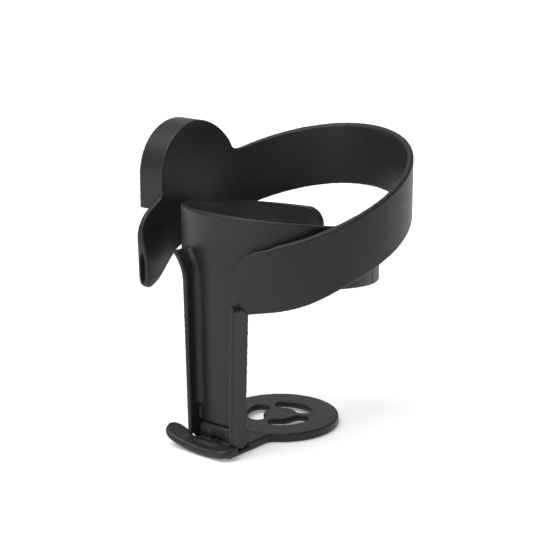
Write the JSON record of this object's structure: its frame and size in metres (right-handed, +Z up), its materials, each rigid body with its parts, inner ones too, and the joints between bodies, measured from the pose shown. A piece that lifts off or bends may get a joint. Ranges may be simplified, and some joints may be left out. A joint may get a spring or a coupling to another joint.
{
  "type": "cup holder",
  "caption": "Clip-on cup and bottle holder: open collar on a channel column, fold-up rest disc, and a tilted support loop with a hood that hangs on a frame.",
  "frame": {"origin": "centre of the rest disc's underside, on the cup's axis", "axes": "+Z up along the cup's axis; the column stands at -Y, the collar's gap faces +Y, the frame hood is at -X"},
  "size_m": [0.1037, 0.1006, 0.1155],
  "materials": {
    "moulded_plastic": "fine satin texture, charcoal black",
    "soft_end": "fine satin texture, charcoal black",
    "foot_plastic": "fine satin texture, charcoal black",
    "washer_plastic": "plain acetal",
    "liner_plastic": "smooth acetal",
    "steel": "zinc plated"
  },
  "bodies": {
    "holder": {"column_collar": "moulded_plastic", "collar_end_piece": "soft_end", "foot_pin": "steel", "foot_washers": "washer_plastic", "support_loop": "moulded_plastic", "tongue_screws": "steel", "hood_cover": "moulded_plastic", "cover_screws": "steel", "receiver_sleeve": "liner_plastic", "detent_spring": "steel"},
    "foot": {"foot_plate": "foot_plastic"},
    "detent": {"detent_plunger": "liner_plastic"}
  },
  "joints": [
    {"name": "foot_fold", "type": "hinge", "parent": "holder", "child": "foot", "pos_m": [0, -0.0362, 0.0066], "axis": [1, 0, 0], "range_deg": [0, 75]},
    {"name": "detent_press", "type": "slide", "parent": "holder", "child": "detent", "axis": [0, 1, 0], "range_m": [0, 0.0014], "stiffness_N_per_m": 600, "springref_m": -0.0012, "deforming": ["detent_spring"]}
  ]
}
